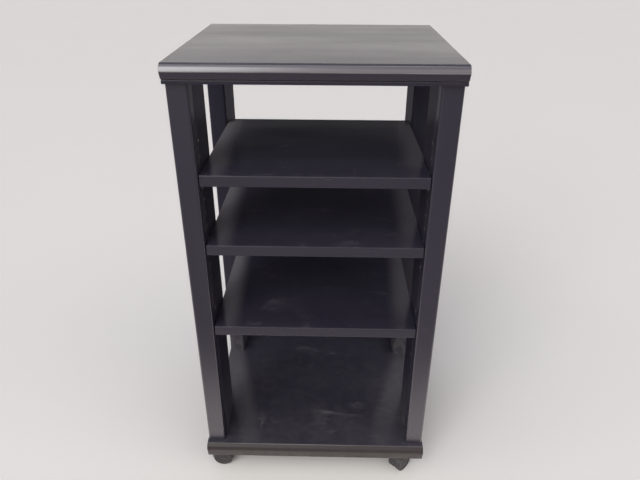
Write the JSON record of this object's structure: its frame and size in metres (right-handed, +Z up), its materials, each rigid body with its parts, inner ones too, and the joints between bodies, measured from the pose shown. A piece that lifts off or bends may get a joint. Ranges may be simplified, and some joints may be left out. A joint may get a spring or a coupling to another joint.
{
  "type": "audio equipment rack",
  "caption": "Tall open audio rack in black foil: moulded top and base boards, four board posts, adjustable shelves on pins, twin-wheel swivel casters.",
  "frame": {"origin": "on the floor under the middle of the overall outline", "axes": "+X to the right of the rack seen from the front, +Y to its back, +Z up; the moulded front faces -Y"},
  "size_m": [0.56, 0.511, 1.062],
  "materials": {
    "top_foil": "satin black-brown foil, slightly worn and dusty",
    "moulding_foil": "satin to glossy black foil on moulded strips",
    "carcass_foil": "satin black foil",
    "inner_foil": "matt black foil",
    "shelf_foil": "smooth satin black foil",
    "zinc_steel": "zinc-plated steel",
    "beech": "raw beech dowel",
    "caster_plastic": "moulded black nylon, light sheen",
    "wheel_plastic": "moulded dark grey nylon, dusty from rolling"
  },
  "bodies": {
    "rack": {"top_board": "top_foil", "top_front_moulding": "moulding_foil", "base_board": "carcass_foil", "base_front_moulding": "moulding_foil", "left_front_stile": "carcass_foil", "left_side_board": "inner_foil", "left_rear_post": "inner_foil", "right_front_stile": "carcass_foil", "right_side_board": "inner_foil", "right_rear_post": "inner_foil", "shelf_top": "shelf_foil", "shelf_middle": "shelf_foil", "shelf_bottom": "shelf_foil", "shelf_top_pin_left_front": "zinc_steel", "shelf_top_pin_left_rear": "zinc_steel", "shelf_top_pin_right_front": "zinc_steel", "shelf_top_pin_right_rear": "zinc_steel", "shelf_middle_pin_left_front": "zinc_steel", "shelf_middle_pin_left_rear": "zinc_steel", "shelf_middle_pin_right_front": "zinc_steel", "shelf_middle_pin_right_rear": "zinc_steel", "shelf_bottom_pin_left_front": "zinc_steel", "shelf_bottom_pin_left_rear": "zinc_steel", "shelf_bottom_pin_right_front": "zinc_steel", "shelf_bottom_pin_right_rear": "zinc_steel", "screw_left_stile": "zinc_steel", "screw_left_side_board": "zinc_steel", "screw_left_rear_post_1": "zinc_steel", "screw_left_rear_post_2": "zinc_steel", "screw_right_stile": "zinc_steel", "screw_right_side_board": "zinc_steel", "screw_right_rear_post_1": "zinc_steel", "screw_right_rear_post_2": "zinc_steel", "dowel_left_front": "beech", "dowel_left_rear": "beech", "dowel_right_front": "beech", "dowel_right_rear": "beech", "front_left_caster_socket": "zinc_steel", "front_right_caster_socket": "zinc_steel", "rear_left_caster_socket": "zinc_steel", "rear_right_caster_socket": "zinc_steel"},
    "front_left_swivel": {"front_left_caster_body": "caster_plastic", "front_left_caster_axle": "zinc_steel"},
    "front_left_wheel_1": {"front_left_caster_wheel_1": "wheel_plastic"},
    "front_left_wheel_2": {"front_left_caster_wheel_2": "wheel_plastic"},
    "front_right_swivel": {"front_right_caster_body": "caster_plastic", "front_right_caster_axle": "zinc_steel"},
    "front_right_wheel_1": {"front_right_caster_wheel_1": "wheel_plastic"},
    "front_right_wheel_2": {"front_right_caster_wheel_2": "wheel_plastic"},
    "rear_left_swivel": {"rear_left_caster_body": "caster_plastic", "rear_left_caster_axle": "zinc_steel"},
    "rear_left_wheel_1": {"rear_left_caster_wheel_1": "wheel_plastic"},
    "rear_left_wheel_2": {"rear_left_caster_wheel_2": "wheel_plastic"},
    "rear_right_swivel": {"rear_right_caster_body": "caster_plastic", "rear_right_caster_axle": "zinc_steel"},
    "rear_right_wheel_1": {"rear_right_caster_wheel_1": "wheel_plastic"},
    "rear_right_wheel_2": {"rear_right_caster_wheel_2": "wheel_plastic"}
  },
  "joints": [
    {"name": "front_left_swivel_turn", "type": "hinge", "parent": "rack", "child": "front_left_swivel", "pos_m": [-0.235, -0.21, 0.06], "axis": [0, 0, 1], "continuous": true},
    {"name": "front_left_wheel_1_roll", "type": "hinge", "parent": "front_left_swivel", "child": "front_left_wheel_1", "pos_m": [-0.24699, -0.20962, 0.025], "axis": [-0.0314, -0.9995, 0], "continuous": true},
    {"name": "front_left_wheel_2_roll", "type": "hinge", "parent": "front_left_swivel", "child": "front_left_wheel_2", "pos_m": [-0.24699, -0.20962, 0.025], "axis": [-0.0314, -0.9995, 0], "continuous": true},
    {"name": "front_right_swivel_turn", "type": "hinge", "parent": "rack", "child": "front_right_swivel", "pos_m": [0.235, -0.21, 0.06], "axis": [0, 0, 1], "continuous": true},
    {"name": "front_right_wheel_1_roll", "type": "hinge", "parent": "front_right_swivel", "child": "front_right_wheel_1", "pos_m": [0.22665, -0.21862, 0.025], "axis": [0.7181, -0.6959, 0], "continuous": true},
    {"name": "front_right_wheel_2_roll", "type": "hinge", "parent": "front_right_swivel", "child": "front_right_wheel_2", "pos_m": [0.22665, -0.21862, 0.025], "axis": [0.7181, -0.6959, 0], "continuous": true},
    {"name": "rear_left_swivel_turn", "type": "hinge", "parent": "rack", "child": "rear_left_swivel", "pos_m": [-0.235, 0.2035, 0.06], "axis": [0, 0, 1], "continuous": true},
    {"name": "rear_left_wheel_1_roll", "type": "hinge", "parent": "rear_left_swivel", "child": "rear_left_wheel_1", "pos_m": [-0.23942, 0.21466, 0.025], "axis": [-0.9298, -0.3681, 0], "continuous": true},
    {"name": "rear_left_wheel_2_roll", "type": "hinge", "parent": "rear_left_swivel", "child": "rear_left_wheel_2", "pos_m": [-0.23942, 0.21466, 0.025], "axis": [-0.9298, -0.3681, 0], "continuous": true},
    {"name": "rear_right_swivel_turn", "type": "hinge", "parent": "rack", "child": "rear_right_swivel", "pos_m": [0.235, 0.2035, 0.06], "axis": [0, 0, 1], "continuous": true},
    {"name": "rear_right_wheel_1_roll", "type": "hinge", "parent": "rear_right_swivel", "child": "rear_right_wheel_1", "pos_m": [0.23688, 0.21535, 0.025], "axis": [-0.9877, 0.1564, 0], "continuous": true},
    {"name": "rear_right_wheel_2_roll", "type": "hinge", "parent": "rear_right_swivel", "child": "rear_right_wheel_2", "pos_m": [0.23688, 0.21535, 0.025], "axis": [-0.9877, 0.1564, 0], "continuous": true}
  ]
}
